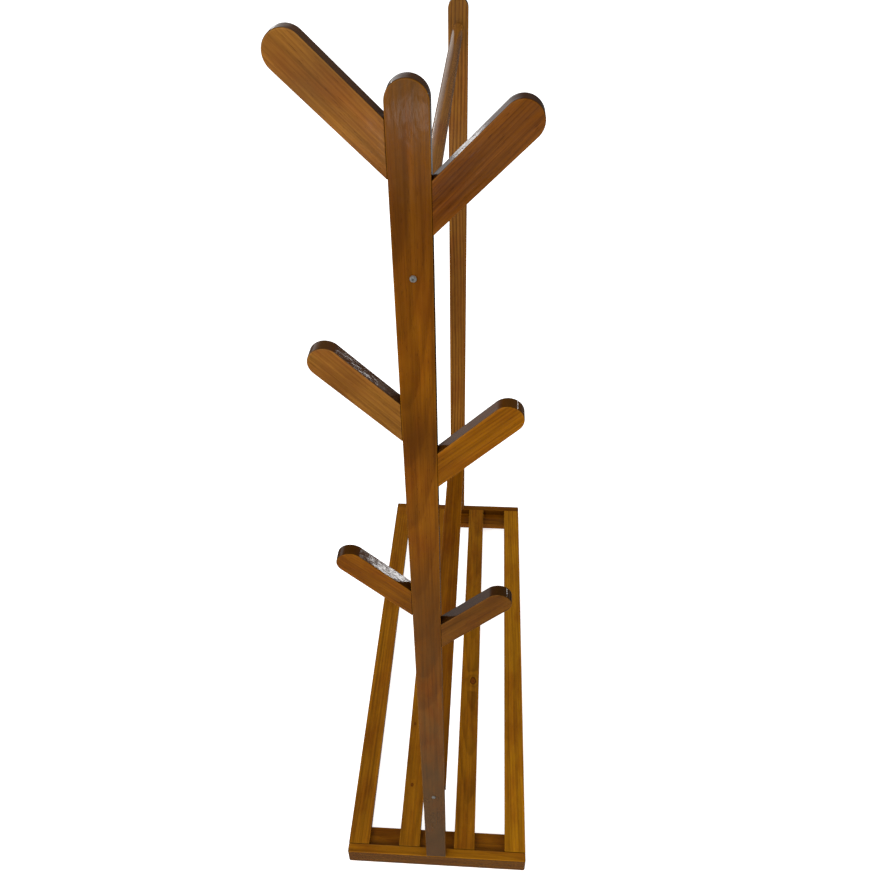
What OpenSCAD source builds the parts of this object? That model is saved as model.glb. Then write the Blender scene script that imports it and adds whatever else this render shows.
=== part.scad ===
// Standing coat rack in planed pine battens. A tall post with six slanted arms stands at one
// end of a slatted base, and a shorter plain post stands at the other. A round hanging rail and
// a flat lower rail join the two posts.
// The origin is on the floor under the middle of the base. +X is to the right, +Y runs from the
// tree post to the plain post, and +Z is up.

/* [Battens] */
// Thickness of every batten
batten_t = 18; // [15:1:22]
// Width of the two posts
post_w = 40; // [34:1:48]
// Width of the six arms
arm_w = 38; // [30:1:42]
// Width of the slats, the cleats and the lower rail
slat_w = 43; // [36:1:50]

/* [Base] */
// Width of the base, left to right
base_w = 370; // [330:5:420]
// Length of the base, end to end
base_l = 1034; // [900:2:1200]
// Height of the two end bars
bar_h = 45; // [42:1:60]
// How far the outer slats are set in from the ends of the end bars
slat_inset = 0; // [0:0.5:6]
// Gap between the two inner slats
middle_gap = 72; // [55:1:85]
// Thickness of the foot pads
pad_t = 2; // [1:0.5:5]

/* [Posts] */
// Height of the tree post above the top of the base
tree_post_h = 1520; // [1510:5:1650]
// Height of the plain post above the top of the base
plain_post_h = 1388; // [1380:1:1500]

/* [Arms] */
// Angle of the arms above the horizontal
arm_angle = 45; // [38:1:50]
// Sideways distance from the middle of the post to the centre of an arm's round end
arm_reach = 100; // [85:1:120]
// Heights above the base at which the left arms meet the post, top first
left_arm_heights = [1459, 1150, 827]; // [700:1:1470]
// Heights above the base at which the right arms meet the post, top first
right_arm_heights = [1405, 1079, 754]; // [700:1:1470]

/* [Rails] */
// Diameter of the round hanging rail
hanging_rail_d = 22; // [18:1:30]
// Height of the hanging rail's axis above the top of the base
hanging_rail_h = 1334; // [1250:1:1340]
// Height of the lower rail's middle above the top of the base
lower_rail_h = 261; // [200:1:400]

/* [Hardware] */
// Diameter of the wooden dowels
dowel_d = 8; // [6:1:10]
// Diameter of the wood screws
screw_d = 4; // [3:0.5:5]
// Diameter of the wood screws' heads
screw_head_d = 7; // [6:0.5:9]
// Diameter of the long screws that hold the posts on the base
post_screw_d = 5; // [4:0.5:6]
// Diameter of a foot pad
pad_d = 15; // [10:1:17]

/* [Hidden] */
$fn = 64;

pine = "#8a5414";
base_pine = "#85500f";
beech = "#c9a46c";
steel = "#b9bbbd";
felt = "#3a2d22";

LEFT = -1;
RIGHT = 1;
FRONT = -1;
REAR = 1;

// Radial room around a dowel or a screw in its hole
hole_room = 0.1;
// Boolean cuts run this far past the surface that they open
cut = 1;

// Heights and depths that follow from the driving sizes
deck_z = pad_t + bar_h;
slat_z = deck_z - batten_t;
cleat_z = slat_z - batten_t;
inner_l = base_l - 2 * batten_t;
inner_y = inner_l / 2;
post_y = inner_y + batten_t / 2;
cleat_y = inner_y - slat_w / 2;
outer_slat_x = base_w / 2 - slat_inset - slat_w / 2;
inner_slat_x = (middle_gap + slat_w) / 2;
slat_x = [-outer_slat_x, -inner_slat_x, inner_slat_x, outer_slat_x];

// Arm joint: two dowels lie level in each arm's mitred end, above its middle so that the
// lower one keeps wood under it
arm_dowel_offsets = [2, 18];
arm_dowel_in_post = 14;
arm_dowel_in_arm = 18;
arm_end_rise = (arm_reach - post_w / 2) * tan(arm_angle);

// Cleat joint: level dowels under the gaps between the slats
side_gap_x = (outer_slat_x + inner_slat_x) / 2;
cleat_dowel_x = [-side_gap_x, 0, side_gap_x];
cleat_dowel_in_bar = 12;
cleat_dowel_in_cleat = 20;

// Screws
screw_head_h = 2.4;
screw_crown_h = 0.8;
drive_slot_w = 1;
drive_slot_depth = 1.5;
rail_screw_l = batten_t + 32;
slat_screw_l = batten_t + 12;
post_screw_x = 12;
post_screw_l = 65;
post_screw_sink = 16;
post_screw_head_d = 9;
post_screw_head_h = 3.5;

pad_x = base_w / 2 - 34;

// A batten with its middle at the origin of X and Y, standing on z = 0
module batten(size_x, size_y, size_z) {
    translate([-size_x / 2, -size_y / 2, 0]) cube([size_x, size_y, size_z]);
}

// A flat outline, drawn in X and Z, made one batten thick about y = 0
module upright_plate() {
    rotate([90, 0, 0]) linear_extrude(batten_t, center = true) children();
}

// A round bar of the given diameter that runs along +Y from the origin
module along_y(d, l) {
    rotate([-90, 0, 0]) cylinder(d = d, h = l);
}

// A round bar of the given diameter that runs along +X from the origin
module along_x(d, l) {
    rotate([0, 90, 0]) cylinder(d = d, h = l);
}

// Outline of a post that stands on z = 0 and ends in a half circle
module post_outline(h) {
    translate([-post_w / 2, 0]) square([post_w, h - post_w / 2]);
    translate([0, h - post_w / 2]) circle(d = post_w);
}

// Cross slots for the screwdriver, cut upwards from z = 0 into a head of the given diameter
module drive_slots(head_d) {
    for (turn = [45, 135]) rotate(turn) translate([-0.3 * head_d, -drive_slot_w / 2, -cut])
        cube([0.6 * head_d, drive_slot_w, cut + drive_slot_depth]);
}

// Screw along +Y: its low crowned head sits on y = 0, its shank runs into +Y
module rail_screw() {
    along_y(screw_d, rail_screw_l);
    rotate([-90, 0, 0]) difference() {
        translate([0, 0, -screw_head_h]) union() {
            cylinder(d1 = screw_head_d - 2 * screw_crown_h, d2 = screw_head_d, h = screw_crown_h);
            translate([0, 0, screw_crown_h]) cylinder(d = screw_head_d, h = screw_head_h - screw_crown_h);
        }
        translate([0, 0, -screw_head_h]) drive_slots(screw_head_d);
    }
}

// Hole for a rail screw through a post, then on into the rail's end
module rail_screw_hole() {
    translate([0, -cut, 0]) along_y(screw_d + 2 * hole_room, rail_screw_l + cut);
}

// Places a child at both rail screws of one end, with +Y pointing into the rail
module at_rail_screws(end) {
    for (h = [hanging_rail_h, lower_rail_h])
        translate([0, end * base_l / 2, deck_z + h]) rotate(end == FRONT ? 0 : 180) children();
}

// Places a child on the underside of an end bar at each long post screw
module at_post_screws(end) {
    for (side = [LEFT, RIGHT]) translate([side * post_screw_x, end * post_y, pad_t]) children();
}

// Counterbore and hole for a long post screw, from under the bar up into the post
module post_screw_hole() {
    translate([0, 0, -cut]) cylinder(d = post_screw_head_d + 2, h = post_screw_sink + cut);
    cylinder(d = post_screw_d + 2 * hole_room, h = post_screw_sink + post_screw_l);
}

// Dowel holes or dowels of one arm's joint, level, on the given side of the post
module arm_joint_pins(side, h, d) {
    for (dz = arm_dowel_offsets)
        translate([side * (post_w / 2 - arm_dowel_in_post), -post_y, deck_z + h + dz])
            mirror([side == LEFT ? 1 : 0, 0, 0]) along_x(d, arm_dowel_in_post + arm_dowel_in_arm);
}

// Pins of both sides and all heights together
module all_arm_pins(d) {
    for (h = left_arm_heights) arm_joint_pins(LEFT, h, d);
    for (h = right_arm_heights) arm_joint_pins(RIGHT, h, d);
}

// Dowels or dowel holes between an end bar and its cleat
module cleat_pins(end, d) {
    for (x = cleat_dowel_x)
        translate([x, end * (inner_y + cleat_dowel_in_bar), cleat_z + batten_t / 2])
            rotate(end == FRONT ? 0 : 180) along_y(d, cleat_dowel_in_bar + cleat_dowel_in_cleat);
}

// Countersunk wood screw that points up, its flat head's face at z = 0
module slat_screw() {
    difference() {
        union() {
            cylinder(d1 = screw_head_d, d2 = screw_d, h = screw_head_h);
            cylinder(d = screw_d, h = slat_screw_l);
        }
        drive_slots(screw_head_d);
    }
}

// Countersunk hole for a slat screw
module slat_screw_hole() {
    room = 2 * hole_room;
    translate([0, 0, -cut]) cylinder(d = screw_head_d + room, h = cut);
    cylinder(d1 = screw_head_d + room, d2 = screw_d + room, h = screw_head_h);
    cylinder(d = screw_d + room, h = slat_screw_l);
}

// Places a child under each crossing of the slats and one cleat
module at_slat_screws(end, xs) {
    for (x = xs) translate([x, end * cleat_y, cleat_z]) children();
}

module front_post() {
    color(pine) difference() {
        translate([0, -post_y, deck_z]) upright_plate() post_outline(tree_post_h);
        all_arm_pins(dowel_d + 2 * hole_room);
        at_rail_screws(FRONT) rail_screw_hole();
        at_post_screws(FRONT) post_screw_hole();
    }
}

module rear_post() {
    color(pine) difference() {
        translate([0, post_y, deck_z]) upright_plate() post_outline(plain_post_h);
        at_rail_screws(REAR) rail_screw_hole();
        at_post_screws(REAR) post_screw_hole();
    }
}

// A slanted arm with a round end, mitred flat against the side of the tree post
module arm(side, h) {
    length = 2 * arm_reach;
    color(pine) difference() {
        translate([0, -post_y, deck_z + h]) mirror([side == LEFT ? 1 : 0, 0, 0]) upright_plate()
            difference() {
                translate([arm_reach, arm_end_rise]) rotate(arm_angle) {
                    translate([-length, -arm_w / 2]) square([length, arm_w]);
                    circle(d = arm_w);
                }
                translate([post_w / 2 - 3 * length, -length]) square([3 * length, 2 * length]);
            }
        arm_joint_pins(side, h, dowel_d + 2 * hole_room);
    }
}

module hanging_rail() {
    color(pine) difference() {
        translate([0, -inner_y, deck_z + hanging_rail_h]) along_y(hanging_rail_d, inner_l);
        at_rail_screws(FRONT) rail_screw_hole();
        at_rail_screws(REAR) rail_screw_hole();
    }
}

module lower_rail() {
    color(pine) difference() {
        translate([0, 0, deck_z + lower_rail_h - batten_t / 2]) batten(slat_w, inner_l, batten_t);
        at_rail_screws(FRONT) rail_screw_hole();
        at_rail_screws(REAR) rail_screw_hole();
    }
}

// Slats run the length of the base between the end bars, flush with their tops
module slat(i) {
    color(base_pine) difference() {
        translate([slat_x[i], 0, slat_z]) batten(slat_w, inner_l, batten_t);
        for (end = [FRONT, REAR]) at_slat_screws(end, [slat_x[i]]) slat_screw_hole();
    }
}

// End bars stand on edge and carry the posts
module end_bar(end) {
    color(base_pine) difference() {
        translate([0, end * post_y, pad_t]) batten(base_w, batten_t, bar_h);
        cleat_pins(end, dowel_d + 2 * hole_room);
        at_post_screws(end) post_screw_hole();
    }
}

// Cleats lie flat under the ends of the slats, against the end bars
module cleat(end) {
    color(base_pine) difference() {
        translate([0, end * cleat_y, cleat_z]) batten(base_w - 2 * slat_inset, slat_w, batten_t);
        cleat_pins(end, dowel_d + 2 * hole_room);
        at_slat_screws(end, slat_x) slat_screw_hole();
    }
}

module arm_dowels() {
    color(beech) all_arm_pins(dowel_d);
}

module cleat_dowels() {
    color(beech) for (end = [FRONT, REAR]) cleat_pins(end, dowel_d);
}

// One screw through each post into each end of the two rails
module rail_screws() {
    color(steel) for (end = [FRONT, REAR]) at_rail_screws(end) rail_screw();
}

// One screw up through the cleats into each end of each slat
module slat_screws() {
    color(steel) for (end = [FRONT, REAR]) at_slat_screws(end, slat_x) slat_screw();
}

// Two long screws from under each end bar up into its post
module post_screws() {
    color(steel) for (end = [FRONT, REAR]) at_post_screws(end)
        translate([0, 0, post_screw_sink - post_screw_head_h]) difference() {
            union() {
                cylinder(d = post_screw_head_d, h = post_screw_head_h);
                cylinder(d = post_screw_d, h = post_screw_head_h + post_screw_l);
            }
            drive_slots(post_screw_head_d);
        }
}

module foot_pads() {
    color(felt) for (x = [-pad_x, pad_x], y = [-post_y, post_y])
        translate([x, y, 0]) cylinder(d = pad_d, h = pad_t);
}

front_post();
rear_post();
arm(LEFT, left_arm_heights[0]);  // arm_left_top
arm(LEFT, left_arm_heights[1]);  // arm_left_middle
arm(LEFT, left_arm_heights[2]);  // arm_left_bottom
arm(RIGHT, right_arm_heights[0]);  // arm_right_top
arm(RIGHT, right_arm_heights[1]);  // arm_right_middle
arm(RIGHT, right_arm_heights[2]);  // arm_right_bottom
hanging_rail();
lower_rail();
slat(0);  // slat_left_outer
slat(1);  // slat_left_inner
slat(2);  // slat_right_inner
slat(3);  // slat_right_outer
end_bar(FRONT);  // front_end_bar
end_bar(REAR);  // rear_end_bar
cleat(FRONT);  // front_cleat
cleat(REAR);  // rear_cleat
arm_dowels();
cleat_dowels();
rail_screws();
slat_screws();
post_screws();
foot_pads();
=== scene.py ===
"""Looks of the standing coat rack: eased edges, stained and varnished pine, steel screws and
felt pads, under soft studio light. Every size is in metres, in the frame of the CAD model."""

import math

import bmesh
import bpy
from mathutils import Matrix, Vector


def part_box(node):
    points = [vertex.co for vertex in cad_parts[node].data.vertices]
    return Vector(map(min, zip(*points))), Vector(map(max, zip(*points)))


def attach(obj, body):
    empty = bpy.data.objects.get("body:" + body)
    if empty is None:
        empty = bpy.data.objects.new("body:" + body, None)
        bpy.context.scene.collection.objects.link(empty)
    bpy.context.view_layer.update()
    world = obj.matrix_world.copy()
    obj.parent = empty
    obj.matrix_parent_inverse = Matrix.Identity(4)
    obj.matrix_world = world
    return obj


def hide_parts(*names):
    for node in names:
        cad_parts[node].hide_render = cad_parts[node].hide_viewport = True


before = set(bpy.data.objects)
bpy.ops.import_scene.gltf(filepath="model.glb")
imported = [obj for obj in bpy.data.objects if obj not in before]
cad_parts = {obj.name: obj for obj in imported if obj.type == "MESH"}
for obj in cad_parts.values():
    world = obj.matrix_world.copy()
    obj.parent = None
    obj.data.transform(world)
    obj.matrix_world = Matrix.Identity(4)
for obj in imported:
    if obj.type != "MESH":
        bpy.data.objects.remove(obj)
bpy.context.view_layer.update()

X_AXIS = Vector((1, 0, 0))
Y_AXIS = Vector((0, 1, 0))
Z_AXIS = Vector((0, 0, 1))

# The camera stands in front of the tree post, a little to its right, at a person's eye level
CAMERA_AT = (0.0736, -1.2085, 1.7562)
CAMERA_TURN = 0.0715
CAMERA_TILT = 0.6984
CAMERA_ROLL = -0.0172
CAMERA_LENS = 32.16
SENSOR_WIDTH = 36.0


def add_camera():
    """Pinhole camera that sees the whole rack from above its front end."""
    data = bpy.data.cameras.new("camera")
    data.sensor_width = SENSOR_WIDTH
    data.lens = CAMERA_LENS
    camera = bpy.data.objects.new("camera", data)
    bpy.context.scene.collection.objects.link(camera)
    turn = Matrix.Rotation(CAMERA_TURN, 4, "Z")
    tilt = Matrix.Rotation(math.pi / 2 - CAMERA_TILT, 4, "X")
    roll = Matrix.Rotation(CAMERA_ROLL, 4, "Z")
    camera.matrix_world = Matrix.Translation(CAMERA_AT) @ turn @ tilt @ roll
    bpy.context.scene.camera = camera


add_camera()


# ---------------------------------------------------------------- shader node helpers

def add_node(tree, kind, inputs=None, **settings):
    """Adds a node, sets its properties, and feeds its inputs with values or sockets."""
    node = tree.nodes.new(kind)
    for name, value in settings.items():
        setattr(node, name, value)
    for name, value in (inputs or {}).items():
        if isinstance(value, bpy.types.NodeSocket):
            tree.links.new(value, node.inputs[name])
        else:
            node.inputs[name].default_value = value
    return node


def calc(tree, operation, a, b=0.0, c=0.0):
    """One Math node, as a formula term."""
    return add_node(tree, "ShaderNodeMath", {0: a, 1: b, 2: c}, operation=operation).outputs[0]


def swing(tree, value, amount, base):
    """A base value that a noise moves by up to half the amount either way."""
    return calc(tree, "MULTIPLY_ADD", calc(tree, "SUBTRACT", value, 0.5), amount, base)


def distance_from(tree, value, place):
    return calc(tree, "ABSOLUTE", calc(tree, "SUBTRACT", value, place))


def room_inside(tree, limit, value):
    """How far a value on either side of zero is from its limit."""
    return calc(tree, "SUBTRACT", limit, calc(tree, "ABSOLUTE", value))


def length_of(tree, a, b):
    """Length of the hypotenuse over two sides."""
    squares = calc(tree, "ADD", calc(tree, "MULTIPLY", a, a), calc(tree, "MULTIPLY", b, b))
    return calc(tree, "SQRT", squares)


def smooth(tree, value, low, high, to_low=0.0, to_high=1.0):
    """Smooth step of a value from low to high."""
    inputs = {"Value": value, "From Min": low, "From Max": high, "To Min": to_low, "To Max": to_high}
    node = add_node(tree, "ShaderNodeMapRange", inputs, interpolation_type="SMOOTHSTEP")
    return node.outputs["Result"]


def combine(tree, x, y, z):
    """Three values as one vector."""
    return add_node(tree, "ShaderNodeCombineXYZ", {0: x, 1: y, 2: z}).outputs[0]


def noise(tree, vector, scale, detail=2.0, roughness=0.5):
    """Noise between 0 and 1 at a point."""
    inputs = {"Vector": vector, "Scale": scale, "Detail": detail, "Roughness": roughness}
    return add_node(tree, "ShaderNodeTexNoise", inputs).outputs["Fac"]


def mix(tree, factor, a, b, blend="MIX"):
    """Mixes two colours."""
    node = add_node(tree, "ShaderNodeMix", {0: factor, 6: a, 7: b}, data_type="RGBA", blend_type=blend)
    return node.outputs[2]


def grey(tree, value):
    """One value as a colour."""
    return combine(tree, value, value, value)


def bump(tree, height, strength, distance):
    """Surface normal over a relief of the given height."""
    inputs = {"Height": height, "Strength": strength, "Distance": distance}
    return add_node(tree, "ShaderNodeBump", inputs).outputs["Normal"]


def object_point(tree):
    """The point of the surface in metres, in the frame of the model."""
    return add_node(tree, "ShaderNodeTexCoord").outputs["Object"]


def new_material(name):
    """Material with an empty node tree."""
    material = bpy.data.materials.new(name)
    material.use_nodes = True
    material.node_tree.nodes.clear()
    return material


def finish_material(tree, shader_inputs):
    """Principled shader with the given inputs, joined to the output."""
    shader = add_node(tree, "ShaderNodeBsdfPrincipled", shader_inputs)
    output = add_node(tree, "ShaderNodeOutputMaterial")
    tree.links.new(shader.outputs["BSDF"], output.inputs["Surface"])


# ---------------------------------------------------------------- varnished pine

# Stain colours, dark to bright, then the dark brown of the patches painted darker along the grain, and
# the greyish brown that paints shade and the varnish's grey reflection
BROWN = (0.105, 0.038, 0.003)
CHESTNUT = (0.118, 0.036, 0.002)
AMBER = (0.155, 0.051, 0.001)
TAN = (0.195, 0.079, 0.011)
GOLD = (0.198, 0.068, 0.001)
HONEY = (0.235, 0.088, 0.002)
STRAW = (0.295, 0.118, 0.002)
UMBER = (0.050, 0.015, 0.001)
SHADE_AND_REFLECTION_GREY = (0.060, 0.034, 0.014)

# What a board's stain is multiplied by, red, green and blue, to give the colours of its details
PALE_TINT = (1.12, 1.12, 1.12)
RED_TINT = (0.80, 0.62, 0.75)
RING_TINT = (0.32, 0.24, 0.30)
KNOT_TINT = (0.62, 0.42, 0.80)
KNOT_RIM_TINT = (0.18, 0.18, 0.18)
# Rubbed edges: the stain worn thin, whitened further as a painted highlight
RUBBED_AND_HIGHLIGHT_TINT = (1.9, 2.2, 3.5)
# Narrow sides: painted shade
SIDE_SHADE_TINT = (0.22, 0.20, 0.50)
END_GRAIN_TINT = (0.30, 0.30, 0.30)


class Board:
    """How one board was cut and stained.

    centre is the middle of a square-ended board, or the middle of the half circle at a round
    end; sizes are the reach along the grain, half the width and half the thickness. The heart
    of the tree lies heart_side beside and heart_depth behind the board's middle, and comes
    taper nearer per metre of board, which draws cathedral arches on the face. The side value
    says how much darker the narrow sides are painted, as painted shade, and each shade is a place
    along the grain, a reach, a depth and a colour of a patch painted darker: the greyish ones
    are painted shade and painted reflection, the brown ones darker patches."""

    def __init__(self, centre, grain, face, sizes, stain, heart, taper, ring_gap, ring_depth,
                 knots=(), shape="square", side_shade=0.0, shades=()):
        self.centre = centre
        self.grain = grain
        self.face = face
        self.sizes = sizes
        self.stain = stain
        self.heart_side, self.heart_depth = heart
        self.taper = taper
        self.ring_gap = ring_gap
        self.ring_depth = ring_depth
        self.knots = knots
        self.shape = shape
        self.side_shade = side_shade
        self.shades = shades


def board_axes(tree, board):
    """Distances from the board's centre along its grain, across its face and through it."""
    inputs = {0: object_point(tree), 1: board.centre}
    local = add_node(tree, "ShaderNodeVectorMath", inputs, operation="SUBTRACT").outputs[0]
    axes = []
    for axis in (board.grain, board.face.cross(board.grain), board.face):
        dot = add_node(tree, "ShaderNodeVectorMath", {0: local, 1: axis}, operation="DOT_PRODUCT")
        axes.append(dot.outputs["Value"])
    return axes


def stretched(tree, axes, along_scale, cross_scale, seed):
    """Noise coordinates that are stretched along the grain and differ from board to board."""
    along, across, through = axes
    return combine(tree, calc(tree, "MULTIPLY_ADD", along, along_scale, seed * 7.3),
                   calc(tree, "MULTIPLY_ADD", across, cross_scale, seed * 3.1),
                   calc(tree, "MULTIPLY", through, cross_scale))


def knot_fields(tree, board, axes):
    """How far the rings are pushed apart round the knots, the knots themselves and their rims."""
    along, across, _ = axes
    push = 0.0
    spots = 0.0
    rims = 0.0
    for knot_along, knot_across, knot_size in board.knots:
        reach = length_of(tree, calc(tree, "MULTIPLY", calc(tree, "SUBTRACT", along, knot_along), 0.7),
                          calc(tree, "SUBTRACT", across, knot_across))
        wobble = noise(tree, stretched(tree, axes, 150.0, 150.0, knot_size), 1.0, 1.0)
        reach = swing(tree, wobble, knot_size * 0.7, reach)
        push = calc(tree, "ADD", push, smooth(tree, reach, 0.0, knot_size * 3.5, knot_size * 1.2, 0.0))
        spot = smooth(tree, reach, knot_size * 0.8, knot_size * 1.2, 1.0, 0.0)
        spots = calc(tree, "MAXIMUM", spots, spot)
        rim = smooth(tree, distance_from(tree, reach, knot_size * 0.85), 0.0, knot_size * 0.3, 1.0, 0.0)
        heart = smooth(tree, reach, 0.0, knot_size * 0.3, 0.9, 0.0)
        rims = calc(tree, "MAXIMUM", rims, calc(tree, "MAXIMUM", rim, heart))
    return push, spots, rims


def growth_rings(tree, board, axes, push, seed):
    """Late wood as 0 to 1: each ring darkens slowly outwards and ends sharply."""
    along, across, through = axes
    sway = noise(tree, combine(tree, calc(tree, "MULTIPLY", along, 1.9), seed * 3.7, 0.0), 1.0, 1.0)
    drift = noise(tree, combine(tree, calc(tree, "MULTIPLY", along, 3.1), 0.0, seed * 5.3), 1.0, 1.0)
    side = calc(tree, "SUBTRACT", swing(tree, sway, 0.022, across), board.heart_side)
    depth = calc(tree, "MULTIPLY_ADD", along, -board.taper, swing(tree, drift, 0.016, through))
    depth = calc(tree, "ADD", calc(tree, "ADD", depth, push), board.heart_depth)
    ripple = noise(tree, stretched(tree, axes, 11.0, 75.0, seed), 1.0, 3.0)
    radius = calc(tree, "MULTIPLY_ADD", ripple, 0.0022, length_of(tree, side, depth))
    years = calc(tree, "DIVIDE", radius, board.ring_gap)
    season = calc(tree, "FRACT", years)
    late = calc(tree, "MULTIPLY", smooth(tree, season, 0.3, 0.86),
                smooth(tree, season, 0.88, 1.0, 1.0, 0.0))
    year_mood = noise(tree, combine(tree, calc(tree, "FLOOR", years), seed, 0.0), 0.83, 0.0)
    return calc(tree, "MULTIPLY", late, smooth(tree, year_mood, 0.25, 0.75, 0.5, 1.0))


def edge_gap(tree, board, axes):
    """Distance from a point on the board's surface to the nearest edge."""
    along, across, through = axes
    reach, half_width, half_thickness = board.sizes
    if board.shape == "rod":
        return room_inside(tree, reach, along)
    if board.shape == "round":
        beyond = calc(tree, "MAXIMUM", along, 0.0)
        end = calc(tree, "ADD", along, reach)
        side = calc(tree, "SUBTRACT", half_width, length_of(tree, across, beyond))
    else:
        end = room_inside(tree, reach, along)
        side = room_inside(tree, half_width, across)
    face = room_inside(tree, half_thickness, through)
    near = calc(tree, "MINIMUM", side, face)
    far = calc(tree, "MAXIMUM", side, face)
    return calc(tree, "MAXIMUM", near, calc(tree, "MINIMUM", far, end))


def towards(tree, axis):
    """How squarely the surface faces along an axis, either way: 0 to 1."""
    normal = add_node(tree, "ShaderNodeNewGeometry").outputs["Normal"]
    dot = add_node(tree, "ShaderNodeVectorMath", {0: normal, 1: axis}, operation="DOT_PRODUCT")
    return calc(tree, "ABSOLUTE", dot.outputs["Value"])


def tinted(colour, tint):
    """Opaque colour, each channel multiplied by its own factor."""
    return tuple(channel * factor for channel, factor in zip(colour, tint)) + (1.0,)


def stained_grain(tree, board, axes, late, fibre, cloud, seed):
    """Stained wood before any fault: cloudy stain, rings, stripes, fibres and short pores."""
    stripe = noise(tree, stretched(tree, axes, 2.5, 170.0, seed), 1.0, 2.0)
    pores = noise(tree, stretched(tree, axes, 110.0, 1500.0, seed), 1.0, 1.0)
    wood = board.stain
    reddened = smooth(tree, cloud, 0.35, 0.72, 0.0, 0.8)
    colour = mix(tree, reddened, tinted(wood, PALE_TINT), tinted(wood, RED_TINT))
    colour = mix(tree, calc(tree, "MULTIPLY", late, board.ring_depth), colour, tinted(wood, RING_TINT))
    streak = smooth(tree, fibre, 0.3, 0.7, 0.84, 1.12)
    band = smooth(tree, stripe, 0.3, 0.7, 0.80, 1.14)
    pore = smooth(tree, pores, 0.66, 0.76, 1.0, 0.55)
    tone = calc(tree, "MULTIPLY", calc(tree, "MULTIPLY", streak, band), pore)
    return mix(tree, 1.0, colour, grey(tree, tone), "MULTIPLY")


def painted_shade_and_dark_patches(tree, board, colour, along, cloud):
    """Paints the board darker in patches along the grain: the greyish ones are painted shade and
    painted reflection, the brown ones darker patches.
    """
    for place, reach, depth, tint in board.shades:
        away = swing(tree, cloud, reach, distance_from(tree, along, place))
        shade = smooth(tree, away, 0.0, reach, depth, 0.0)
        colour = mix(tree, shade, colour, (*tint, 1.0))
    return colour


def pine(name, board, seed):
    """Pine under amber brown stain and gloss varnish."""
    material = new_material(name)
    tree = material.node_tree
    axes = board_axes(tree, board)
    push, spots, rims = knot_fields(tree, board, axes)
    late = growth_rings(tree, board, axes, push, seed)
    # Fine fibres, and the cloudy patches where the stain took unevenly
    fibre = noise(tree, stretched(tree, axes, 14.0, 700.0, seed), 1.0, 3.0, 0.6)
    cloud = noise(tree, stretched(tree, axes, 11.0, 30.0, seed), 1.0, 3.0, 0.6)

    wood = board.stain
    colour = stained_grain(tree, board, axes, late, fibre, cloud, seed)
    colour = painted_shade_and_dark_patches(tree, board, colour, axes[0], cloud)
    if board.knots:
        colour = mix(tree, spots, colour, tinted(wood, KNOT_TINT))
        colour = mix(tree, calc(tree, "MULTIPLY", rims, 0.8), colour, tinted(wood, KNOT_RIM_TINT))

    # The stain is rubbed thin on the eased edges, which are lightened further as a painted highlight,
    # and sinks in deep at the end grain
    gap = swing(tree, cloud, 0.0018, edge_gap(tree, board, axes))
    edge_wear_and_highlight = smooth(tree, gap, 0.0002, 0.0017, 0.30, 0.0)
    colour = mix(tree, edge_wear_and_highlight, colour, tinted(wood, RUBBED_AND_HIGHLIGHT_TINT))
    # Painted shade: the narrow sides are darkened where the surface turns away from the face
    if board.side_shade:
        narrow_side_shade = smooth(tree, towards(tree, board.face), 0.15, 0.75, board.side_shade, 0.0)
        colour = mix(tree, narrow_side_shade, colour, tinted(wood, SIDE_SHADE_TINT))
    end_grain = smooth(tree, towards(tree, board.grain), 0.3, 0.7, 0.0, 0.75)
    colour = mix(tree, end_grain, colour, tinted(wood, END_GRAIN_TINT))

    # The wood is matt under its varnish, and a little rougher where it is rubbed
    relief = calc(tree, "MULTIPLY_ADD", late, 0.4, calc(tree, "MULTIPLY", fibre, 0.6))
    rough = smooth(tree, fibre, 0.2, 0.8, 0.40, 0.55)
    # The varnish film has slow waves from the brush, and the raised grain shows through it
    brushing = noise(tree, stretched(tree, axes, 30.0, 75.0, seed), 1.0, 2.0)
    raised = noise(tree, stretched(tree, axes, 90.0, 350.0, seed), 1.0, 2.0)
    film = calc(tree, "MULTIPLY_ADD", raised, 0.25, brushing)
    finish_material(tree, {
        "Base Color": colour,
        "Roughness": calc(tree, "ADD", rough, calc(tree, "MULTIPLY", edge_wear_and_highlight, 0.2)),
        "Specular IOR Level": 0.0,
        "Normal": bump(tree, relief, 0.3, 0.0004),
        "Coat Weight": 0.9,
        "Coat Roughness": 0.12,
        "Coat IOR": 1.5,
        "Coat Normal": bump(tree, film, 0.55, 0.0007),
    })
    return material


# ---------------------------------------------------------------- small parts

def beech(name):
    """Bare beech with fine short flecks, for the dowels."""
    material = new_material(name)
    tree = material.node_tree
    point = object_point(tree)
    tone = noise(tree, point, 160.0, 3.0)
    flecks = noise(tree, point, 900.0, 1.0)
    colour = mix(tree, tone, (0.52, 0.33, 0.17, 1.0), (0.66, 0.47, 0.28, 1.0))
    colour = mix(tree, smooth(tree, flecks, 0.6, 0.7, 0.0, 0.5), colour, (0.34, 0.19, 0.09, 1.0))
    finish_material(tree, {
        "Base Color": colour,
        "Roughness": smooth(tree, tone, 0.3, 0.7, 0.55, 0.7),
        "Normal": bump(tree, flecks, 0.3, 0.0002),
    })
    return material


def zinc_steel(name):
    """Zinc plate with faint mottling and fine scratches."""
    material = new_material(name)
    tree = material.node_tree
    point = object_point(tree)
    mottle = noise(tree, point, 700.0, 3.0)
    scratches = noise(tree, point, 2600.0, 2.0)
    colour = mix(tree, mottle, (0.20, 0.19, 0.17, 1.0), (0.45, 0.44, 0.41, 1.0))
    finish_material(tree, {
        "Base Color": colour,
        "Metallic": 0.6,
        "Roughness": smooth(tree, mottle, 0.3, 0.7, 0.25, 0.40),
        "Normal": bump(tree, scratches, 0.25, 0.0001),
    })
    return material


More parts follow.
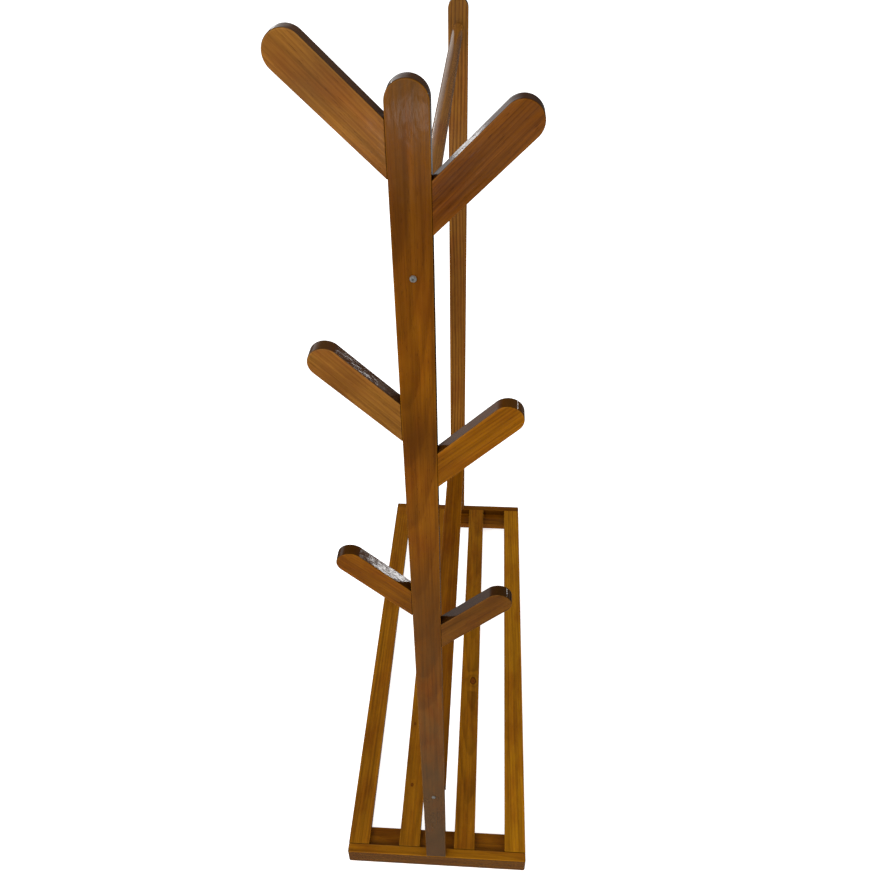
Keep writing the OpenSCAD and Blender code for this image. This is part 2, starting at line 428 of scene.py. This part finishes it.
def felt(name):
    """Pressed brown felt with a matted, fuzzy surface."""
    material = new_material(name)
    tree = material.node_tree
    point = object_point(tree)
    mat = noise(tree, point, 1400.0, 4.0, 0.7)
    tufts = noise(tree, point, 260.0, 2.0)
    colour = mix(tree, mat, (0.022, 0.014, 0.010, 1.0), (0.075, 0.050, 0.036, 1.0))
    colour = mix(tree, smooth(tree, tufts, 0.45, 0.7, 0.0, 0.4), colour, (0.10, 0.075, 0.055, 1.0))
    finish_material(tree, {
        "Base Color": colour,
        "Roughness": smooth(tree, mat, 0.2, 0.8, 0.88, 1.0),
        "Sheen Weight": 0.3,
        "Normal": bump(tree, mat, 0.7, 0.0004),
    })
    return material


# ---------------------------------------------------------------- eased boards

# Radii of the eased edges, then of the round ends of the posts and arms
BATTEN_EDGE = 0.0013
BAR_EDGE = 0.0026
ROD_RIM = 0.0012
POST_RADIUS = 0.020
ARM_RADIUS = 0.019

# Half the thickness of the posts and arms
BATTEN_HALF_THICKNESS = 0.009

# How finely the curves are drawn
EDGE_STEPS = 4
HALF_CIRCLE_STEPS = 40
POCKET_STEPS = 32
ROD_STEPS = 56


def half_circle(radius):
    """Points of a round end, from the left side over the tip to the right side."""
    angles = [math.pi * step / HALF_CIRCLE_STEPS for step in range(HALF_CIRCLE_STEPS + 1)]
    return [(radius * math.sin(angle), -radius * math.cos(angle)) for angle in angles]


def rectangle(reach, half_width):
    """Points of a square-ended board's outline."""
    return [(-reach, -half_width), (reach, -half_width), (reach, half_width), (-reach, half_width)]


def plate(board, outline, edge=BATTEN_EDGE):
    """Board of the given outline (along, across), with every edge eased."""
    across_axis = board.face.cross(board.grain)
    half_thickness = board.sizes[2]
    shape = bmesh.new()
    corners = []
    for along, across in outline:
        spot = board.centre + board.grain * along + across_axis * across - board.face * half_thickness
        corners.append(shape.verts.new(spot))
    base = shape.faces.new(corners)
    grown = bmesh.ops.extrude_face_region(shape, geom=[base])["geom"]
    top = [part for part in grown if isinstance(part, bmesh.types.BMVert)]
    bmesh.ops.translate(shape, verts=top, vec=board.face * 2 * half_thickness)
    bmesh.ops.recalc_face_normals(shape, faces=shape.faces)
    sharp = [line for line in shape.edges if line.calc_face_angle(0.0) > math.radians(30)]
    bmesh.ops.bevel(shape, geom=sharp, offset=edge, offset_type="OFFSET", segments=EDGE_STEPS,
                    profile=0.5, affect="EDGES", clamp_overlap=True)
    return shape


def pocket_ring(shape, centre, radius):
    """Closed loop of edges round a vertical axis."""
    verts = []
    for step in range(POCKET_STEPS):
        angle = 2 * math.pi * step / POCKET_STEPS
        verts.append(shape.verts.new(centre + Vector((math.cos(angle), math.sin(angle), 0)) * radius))
    return [shape.edges.new((verts[i], verts[(i + 1) % POCKET_STEPS])) for i in range(POCKET_STEPS)]


def drill_from_below(shape, centres, mouth, bottom, depth):
    """Opens round pockets in the flat underside: mouth and bottom are radii."""
    floor_z = min(vert.co.z for vert in shape.verts)
    under = [face for face in shape.faces if all(abs(v.co.z - floor_z) < 1e-6 for v in face.verts)]
    rim = [edge for face in under for edge in face.edges]
    bmesh.ops.delete(shape, geom=under, context="FACES_ONLY")
    loops = []
    for x, y in centres:
        outer = pocket_ring(shape, Vector((x, y, floor_z)), mouth)
        inner = pocket_ring(shape, Vector((x, y, floor_z + depth)), bottom)
        bmesh.ops.bridge_loops(shape, edges=outer + inner)
        bmesh.ops.contextual_create(shape, geom=inner)
        # The pocket's rims are crisp, so the shading doesn't run over them
        for edge in outer + inner:
            edge.smooth = False
        loops += outer
    bmesh.ops.triangle_fill(shape, use_beauty=True, edges=rim + loops, normal=(0, 0, -1))
    bmesh.ops.recalc_face_normals(shape, faces=shape.faces)


def rod(centre, radius, half_length):
    """Round rail along Y with softened rims."""
    shape = bmesh.new()
    rings = []
    for y, r in ((-half_length, radius - ROD_RIM), (-half_length + ROD_RIM, radius),
                 (half_length - ROD_RIM, radius), (half_length, radius - ROD_RIM)):
        ring = []
        for step in range(ROD_STEPS):
            angle = 2 * math.pi * step / ROD_STEPS
            spot = centre + Vector((r * math.cos(angle), y, r * math.sin(angle)))
            ring.append(shape.verts.new(spot))
        rings.append(ring)
    for first, second in zip(rings, rings[1:]):
        for i in range(ROD_STEPS):
            j = (i + 1) % ROD_STEPS
            shape.faces.new((first[i], first[j], second[j], second[i]))
    shape.faces.new(rings[0])
    shape.faces.new(reversed(rings[-1]))
    bmesh.ops.recalc_face_normals(shape, faces=shape.faces)
    return shape


def stand_for(node, shape, material):
    """Puts a new piece in the place of a CAD node."""
    for face in shape.faces:
        face.smooth = True
    mesh = bpy.data.meshes.new(f"{node}_eased")
    shape.to_mesh(mesh)
    shape.free()
    mesh.materials.append(material)
    piece = bpy.data.objects.new(f"{node}_eased", mesh)
    bpy.context.scene.collection.objects.link(piece)
    # Large faces stay flat in the shading, and only the eased edges turn the light
    shade = piece.modifiers.new("shade", "WEIGHTED_NORMAL")
    shade.weight = 100
    shade.keep_sharp = True
    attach(piece, "root")
    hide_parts(node)


# Square-ended boards: grain, face, stain, heart beside and behind, taper, ring gap, ring depth,
# painted side shade, knots
SQUARE_BOARDS = {
    "lower_rail": (Y_AXIS, Z_AXIS, AMBER, (0.050, 0.02), 0.02, 0.0050, 0.35, 0.0, ()),
    "slat_left_outer": (Y_AXIS, Z_AXIS, HONEY, (0.060, 0.03), 0.02, 0.0060, 0.30, 0.0, ()),
    "slat_left_inner": (Y_AXIS, Z_AXIS, HONEY, (0.004, 0.05), 0.03, 0.0055, 0.40, 0.0,
                        ((-0.220, 0.0115, 0.0026), (-0.368, 0.0055, 0.0030))),
    "slat_right_inner": (Y_AXIS, Z_AXIS, HONEY, (-0.006, 0.04), 0.03, 0.0050, 0.40, 0.0,
                         ((-0.098, -0.0070, 0.0075),)),
    "slat_right_outer": (Y_AXIS, Z_AXIS, STRAW, (-0.055, 0.03), 0.02, 0.0055, 0.35, 0.0, ()),
    "front_end_bar": (X_AXIS, Z_AXIS, HONEY, (0.030, 0.05), 0.04, 0.0050, 0.25, 0.7, ()),
    "rear_end_bar": (X_AXIS, Z_AXIS, AMBER, (0.050, 0.04), 0.04, 0.0050, 0.30, 0.5, ()),
    "front_cleat": (X_AXIS, Z_AXIS, AMBER, (0.010, 0.05), 0.05, 0.0050, 0.35, 0.0, ()),
    "rear_cleat": (X_AXIS, Z_AXIS, AMBER, (0.015, 0.05), 0.05, 0.0050, 0.35, 0.0, ()),
}

# Round-ended boards: stain, heart, taper, ring gap, ring depth, shades; the greyish shades are painted
# shade and painted reflection, the brown ones darker patches
ROUND_BOARDS = {
    # The front post is painted darker and greyer towards its foot and greyer at its top, as painted
    # shade and painted reflection
    "front_post": (AMBER, (0.012, 0.045), 0.055, 0.0060, 0.36,
                   ((0.02, 0.07, 0.45, SHADE_AND_REFLECTION_GREY), (-0.10, 0.12, 0.42, UMBER), (-0.37, 0.08, 0.58, UMBER),
                    (-0.72, 0.24, 0.50, UMBER), (-1.45, 0.90, 0.84, SHADE_AND_REFLECTION_GREY))),
    "rear_post": (TAN, (0.070, 0.020), 0.010, 0.0066, 1.0,
                  ((0.0, 0.10, 0.25, SHADE_AND_REFLECTION_GREY), (-0.60, 0.40, 0.35, UMBER))),
    "arm_left_top": (TAN, (0.050, 0.030), 0.06, 0.0030, 0.22,
                     ((-0.03, 0.04, 0.25, SHADE_AND_REFLECTION_GREY), (-0.15, 0.08, 0.38, UMBER))),
    "arm_left_middle": (TAN, (0.035, 0.040), 0.06, 0.0034, 0.25,
                        ((-0.03, 0.03, 0.15, UMBER), (-0.10, 0.04, 0.15, UMBER))),
    "arm_left_bottom": (AMBER, (-0.045, 0.030), 0.05, 0.0030, 0.22, ((-0.12, 0.05, 0.30, UMBER),)),
    "arm_right_top": (CHESTNUT, (-0.040, 0.030), 0.06, 0.0028, 0.32, ((-0.07, 0.05, 0.20, UMBER),)),
    "arm_right_middle": (GOLD, (0.045, 0.030), 0.05, 0.0030, 0.32, ((-0.12, 0.06, 0.15, UMBER),)),
    "arm_right_bottom": (BROWN, (0.050, 0.030), 0.05, 0.0030, 0.22, ()),
}

# How much darker the narrow sides of the posts and arms are painted, as painted shade
ROUND_SIDE_SHADE = 0.85
# An arm's foot is hidden in its joint, so its rubbed edge, lightened partly as a painted highlight, is
# put out of reach
ARM_REACH = 1.0
# Each board draws its own grain from its own seed
SQUARE_SEED = 1.0
ROUND_SEED = 21.0
ROD_SEED = 41.0

# Screw pockets in the undersides: mouth and bottom radius, depth
COUNTERBORE = (0.0055, 0.0055, 0.0125)
COUNTERSINK = (0.0036, 0.0033, 0.0022)
POST_SCREW_X = 0.012


def screw_pockets(shape, node, low, high):
    """Pockets for the screws that come up through the end bars and the cleats."""
    middle_y = (low.y + high.y) / 2
    if node.endswith("end_bar"):
        centres = [(side * POST_SCREW_X, middle_y) for side in (-1, 1)]
        drill_from_below(shape, centres, *COUNTERBORE)
    if node.endswith("cleat"):
        boxes = [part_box(slat) for slat in SQUARE_BOARDS if slat.startswith("slat")]
        centres = [((box[0].x + box[1].x) / 2, middle_y) for box in boxes]
        drill_from_below(shape, centres, *COUNTERSINK)


def make_square_boards():
    """Lower rail, slats, end bars and cleats."""
    for seed, (node, cut) in enumerate(SQUARE_BOARDS.items()):
        grain, face, stain, heart, taper, ring_gap, ring_depth, side_shade, knots = cut
        low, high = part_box(node)
        half = (high - low) / 2
        sizes = [abs(half.dot(axis)) for axis in (grain, face.cross(grain), face)]
        board = Board((low + high) / 2, grain, face, sizes, stain, heart, taper, ring_gap, ring_depth,
                      knots, side_shade=side_shade)
        edge = BAR_EDGE if node.endswith("bar") else BATTEN_EDGE
        shape = plate(board, rectangle(sizes[0], sizes[1]), edge)
        screw_pockets(shape, node, low, high)
        stand_for(node, shape, pine(f"pine_{node}", board, seed + SQUARE_SEED))


def make_round_boards():
    """Posts and arms."""
    for seed, (node, cut) in enumerate(ROUND_BOARDS.items()):
        stain, heart, taper, ring_gap, ring_depth, shades = cut
        low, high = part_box(node)
        side = 0 if node.endswith("post") else -1 if "left" in node else 1
        radius = ARM_RADIUS if side else POST_RADIUS
        grain = Vector((side, 0, 1)).normalized()
        tip_x = {-1: low.x + radius, 0: 0.0, 1: high.x - radius}[side]
        centre = Vector((tip_x, (low.y + high.y) / 2, high.z - radius))
        # The foot of a post is square; an arm's foot is mitred to lie against the post's side
        reach = abs(tip_x) - POST_RADIUS if side else centre.z - low.z
        reach = reach / grain.dot(Vector((side, 0, 0))) if side else reach
        slant = radius * side
        outline = half_circle(radius) + [(-reach + slant, radius), (-reach - slant, -radius)]
        sizes = (ARM_REACH if side else reach, radius, BATTEN_HALF_THICKNESS)
        board = Board(centre, grain, -Y_AXIS, sizes, stain, heart, taper, ring_gap, ring_depth,
                      shape="round", side_shade=ROUND_SIDE_SHADE, shades=shades)
        stand_for(node, plate(board, outline), pine(f"pine_{node}", board, seed + ROUND_SEED))


def make_hanging_rail():
    """Round rail between the posts."""
    low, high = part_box("hanging_rail")
    half = (high - low) / 2
    centre = (low + high) / 2
    board = Board(centre, Y_AXIS, Z_AXIS, (half.y, half.x, half.z), TAN, (0.030, 0.020), 0.01,
                  0.0040, 0.35, shape="rod")
    shape = rod(centre, half.x, half.y)
    stand_for("hanging_rail", shape, pine("pine_hanging_rail", board, ROD_SEED))


def dress(node, material):
    """Gives a CAD node one material, whatever slots it came with."""
    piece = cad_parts[node]
    piece.data.materials.clear()
    piece.data.materials.append(material)


def dress_small_parts():
    """Materials of the pieces that keep their CAD shapes."""
    for node in ("arm_dowels", "cleat_dowels"):
        dress(node, beech(f"beech_{node}"))
    for node in ("rail_screws", "slat_screws", "post_screws"):
        dress(node, zinc_steel(f"steel_{node}"))
    dress("foot_pads", felt("felt_foot_pads"))


make_square_boards()
make_round_boards()
make_hanging_rail()
dress_small_parts()


# ---------------------------------------------------------------- studio

FLOOR_HALF_SIZE = 16.0
WALL_RADIUS = 14.0
WALL_HEIGHT = 20.0


def add_area(name, at, aim, size, power, mirrored=True):
    """Soft box that the camera doesn't see; mirrored says whether the varnish shows it."""
    data = bpy.data.lights.new(name, "AREA")
    data.shape = "RECTANGLE"
    data.size = size[0]
    data.size_y = size[1]
    data.energy = power
    light = bpy.data.objects.new(name, data)
    bpy.context.scene.collection.objects.link(light)
    light.location = at
    light.rotation_euler = (Vector(aim) - Vector(at)).to_track_quat("-Z", "Y").to_euler()
    light.visible_camera = False
    light.visible_glossy = mirrored


def studio_piece(name, shape, shader_inputs):
    """Object of the studio with one plain material."""
    mesh = bpy.data.meshes.new(name)
    shape.to_mesh(mesh)
    shape.free()
    piece = bpy.data.objects.new(name, mesh)
    bpy.context.scene.collection.objects.link(piece)
    material = new_material(name)
    finish_material(material.node_tree, shader_inputs)
    mesh.materials.append(material)
    return piece


def add_floor():
    """Pale floor that the varnish doesn't mirror, glowing so that it stays even."""
    shape = bmesh.new()
    bmesh.ops.create_grid(shape, x_segments=2, y_segments=2, size=FLOOR_HALF_SIZE)
    floor = studio_piece("floor", shape, {
        "Base Color": (0.9, 0.9, 0.9, 1.0),
        "Roughness": 0.7,
        "Emission Color": (1.0, 1.0, 1.0, 1.0),
        "Emission Strength": 0.75,
    })
    floor.visible_glossy = False


def add_backdrop():
    """Round pale wall that only the camera sees, so that it adds no light of its own."""
    shape = bmesh.new()
    bmesh.ops.create_cone(shape, cap_ends=False, segments=96, radius1=WALL_RADIUS,
                          radius2=WALL_RADIUS, depth=WALL_HEIGHT)
    wall = studio_piece("backdrop", shape, {
        "Base Color": (0.0, 0.0, 0.0, 1.0),
        "Specular IOR Level": 0.0,
        "Emission Color": (0.94, 0.94, 0.94, 1.0),
        "Emission Strength": 1.0,
    })
    wall.visible_diffuse = False
    wall.visible_glossy = False
    wall.visible_transmission = False
    wall.visible_shadow = False


# Brightness of the room by height, from straight down to straight up
ROOM_TONES = ((0.0, 0.06), (0.05, 0.12), (0.11, 0.10), (0.20, 0.01), (0.30, 0.02), (0.33, 0.30),
              (0.36, 0.06), (0.42, 0.08), (0.50, 0.05), (0.65, 0.08), (1.0, 0.02))
LEFT_WALL_TONE = 0.6


def add_world():
    """Dim room with a paler wall on its left, from the floor line up."""
    world = bpy.data.worlds.new("studio")
    world.use_nodes = True
    tree = world.node_tree
    direction = add_node(tree, "ShaderNodeTexCoord").outputs["Generated"]
    aim = add_node(tree, "ShaderNodeSeparateXYZ", {0: direction}).outputs
    ramp = add_node(tree, "ShaderNodeValToRGB", {"Fac": calc(tree, "MULTIPLY_ADD", aim["Z"], 0.5, 0.5)})
    stops = ramp.color_ramp.elements
    while len(stops) < len(ROOM_TONES):
        stops.new(0.5)
    for stop, (place, tone) in zip(stops, ROOM_TONES):
        stop.position = place
        stop.color = (tone, tone, tone, 1.0)
    leftness = smooth(tree, aim["X"], -0.14, 0.03, LEFT_WALL_TONE, 0.0)
    above = smooth(tree, aim["Z"], -0.12, -0.04)
    below = smooth(tree, aim["Z"], 0.02, 0.45, 1.0, 0.0)
    wall = calc(tree, "MULTIPLY", leftness, calc(tree, "MULTIPLY", above, below))
    room = add_node(tree, "ShaderNodeVectorMath", {0: ramp.outputs["Color"], 1: grey(tree, wall)},
                    operation="ADD").outputs[0]
    tree.links.new(room, tree.nodes["Background"].inputs["Color"])
    bpy.context.scene.world = world


add_floor()
add_backdrop()
add_world()
# Two wide lamps light the wood; the small ones only put the highlights on the varnish
add_area("ceiling", (0, 3, 5), (0, 3, 0), (18, 18), 830, mirrored=False)
add_area("key", (-1.6, -5.0, 4.2), (0, -0.3, 0.8), (3.0, 3.0), 215, mirrored=False)
add_area("front_strip", (-0.17, -2.55, 0.89), (0, -0.5, 1.53), (0.20, 0.03), 0.09)
add_area("left_gap", (-2.56, 7.06, 1.25), (0, -0.5, 1.4), (0.40, 0.30), 1.5)
add_area("right_window", (5.95, 4.66, 1.73), (0, -0.5, 0.8), (0.42, 0.42), 12)
add_area("right_glint", (4.85, 5.75, 2.9), (0, -0.5, 1.2), (0.35, 0.35), 8)
bpy.context.scene.view_settings.view_transform = "Standard"
